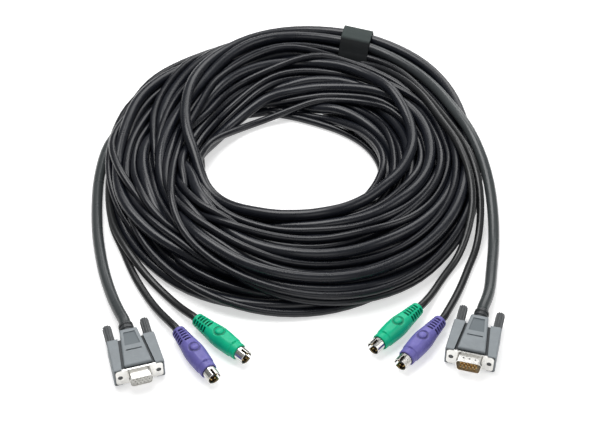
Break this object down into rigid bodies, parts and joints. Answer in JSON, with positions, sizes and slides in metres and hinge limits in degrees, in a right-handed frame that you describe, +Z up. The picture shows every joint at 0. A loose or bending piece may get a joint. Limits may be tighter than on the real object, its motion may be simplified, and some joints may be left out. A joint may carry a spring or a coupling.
{
  "type": "kvm cable",
  "caption": "Coiled keyboard, video and mouse cable: thick and thin round cords wound flat and held by a band, with screw-locked video plugs and round purple and green plugs at both ends.",
  "frame": {"origin": "middle of the footprint of the plugs and the band, on the surface that the cable lies on", "axes": "+Z up, plugs towards -Y, coil behind them towards +Y"},
  "size_m": [0.2945, 0.3659, 0.0319],
  "materials": {
    "cord_black": "satin black cord jacket",
    "cord_grey": "satin dark grey cord jacket",
    "band_black": "matt dark strap",
    "hood_grey": "fine grained moulded grey",
    "screw_grey": "satin moulded dark grey",
    "collar_black": "satin dark grey",
    "nickel": "bright nickel plate",
    "contact_gold": "gold flashed",
    "insulator_black": "satin black",
    "insulator_white": "satin off-white",
    "plug_purple": "satin purple",
    "plug_green": "satin green"
  },
  "bodies": {
    "cable": {"cord_coil": "cord_black", "band": "band_black", "video_cord_turn": "cord_black", "video_cord_lead_left": "cord_grey", "video_cord_lead_right": "cord_grey", "keyboard_cord_lead_left": "cord_black", "keyboard_cord_lead_right": "cord_black", "mouse_cord_lead_left": "cord_black", "mouse_cord_lead_right": "cord_black", "video_female_hood": "hood_grey", "video_female_shell": "nickel", "video_female_insulator": "insulator_black", "video_female_collar": "collar_black", "video_male_hood": "hood_grey", "video_male_shell": "nickel", "video_male_insulator": "insulator_white", "video_male_collar": "collar_black", "keyboard_left_body": "plug_purple", "keyboard_left_shield": "nickel", "keyboard_left_insulator": "insulator_black", "keyboard_left_pin_1": "contact_gold", "keyboard_left_pin_2": "contact_gold", "keyboard_left_pin_3": "contact_gold", "keyboard_left_pin_4": "contact_gold", "keyboard_left_pin_5": "contact_gold", "keyboard_left_pin_6": "contact_gold", "mouse_left_body": "plug_green", "mouse_left_shield": "nickel", "mouse_left_insulator": "insulator_black", "mouse_left_pin_1": "contact_gold", "mouse_left_pin_2": "contact_gold", "mouse_left_pin_3": "contact_gold", "mouse_left_pin_4": "contact_gold", "mouse_left_pin_5": "contact_gold", "mouse_left_pin_6": "contact_gold", "mouse_right_body": "plug_green", "mouse_right_shield": "nickel", "mouse_right_insulator": "insulator_black", "mouse_right_pin_1": "contact_gold", "mouse_right_pin_2": "contact_gold", "mouse_right_pin_3": "contact_gold", "mouse_right_pin_4": "contact_gold", "mouse_right_pin_5": "contact_gold", "mouse_right_pin_6": "contact_gold", "keyboard_right_body": "plug_purple", "keyboard_right_shield": "nickel", "keyboard_right_insulator": "insulator_black", "keyboard_right_pin_1": "contact_gold", "keyboard_right_pin_2": "contact_gold", "keyboard_right_pin_3": "contact_gold", "keyboard_right_pin_4": "contact_gold", "keyboard_right_pin_5": "contact_gold", "keyboard_right_pin_6": "contact_gold"},
    "video_female_thumbscrew_left": {"video_female_thumbscrew_left": "screw_grey"},
    "video_female_thumbscrew_right": {"video_female_thumbscrew_right": "screw_grey"},
    "video_male_thumbscrew_left": {"video_male_thumbscrew_left": "screw_grey"},
    "video_male_thumbscrew_right": {"video_male_thumbscrew_right": "screw_grey"}
  },
  "joints": [
    {"name": "video_female_thumbscrew_left_turn", "type": "hinge", "parent": "cable", "child": "video_female_thumbscrew_left", "pos_m": [-0.12543, -0.14895, 0.00825], "axis": [-0.2924, 0.9563, 0], "continuous": true},
    {"name": "video_female_thumbscrew_right_turn", "type": "hinge", "parent": "cable", "child": "video_female_thumbscrew_right", "pos_m": [-0.10153, -0.14164, 0.00825], "axis": [-0.2924, 0.9563, 0], "continuous": true},
    {"name": "video_male_thumbscrew_left_turn", "type": "hinge", "parent": "cable", "child": "video_male_thumbscrew_left", "pos_m": [0.10175, -0.13055, 0.00825], "axis": [0.2672, 0.9636, 0], "continuous": true},
    {"name": "video_male_thumbscrew_right_turn", "type": "hinge", "parent": "cable", "child": "video_male_thumbscrew_right", "pos_m": [0.12584, -0.13723, 0.00825], "axis": [0.2672, 0.9636, 0], "continuous": true}
  ]
}
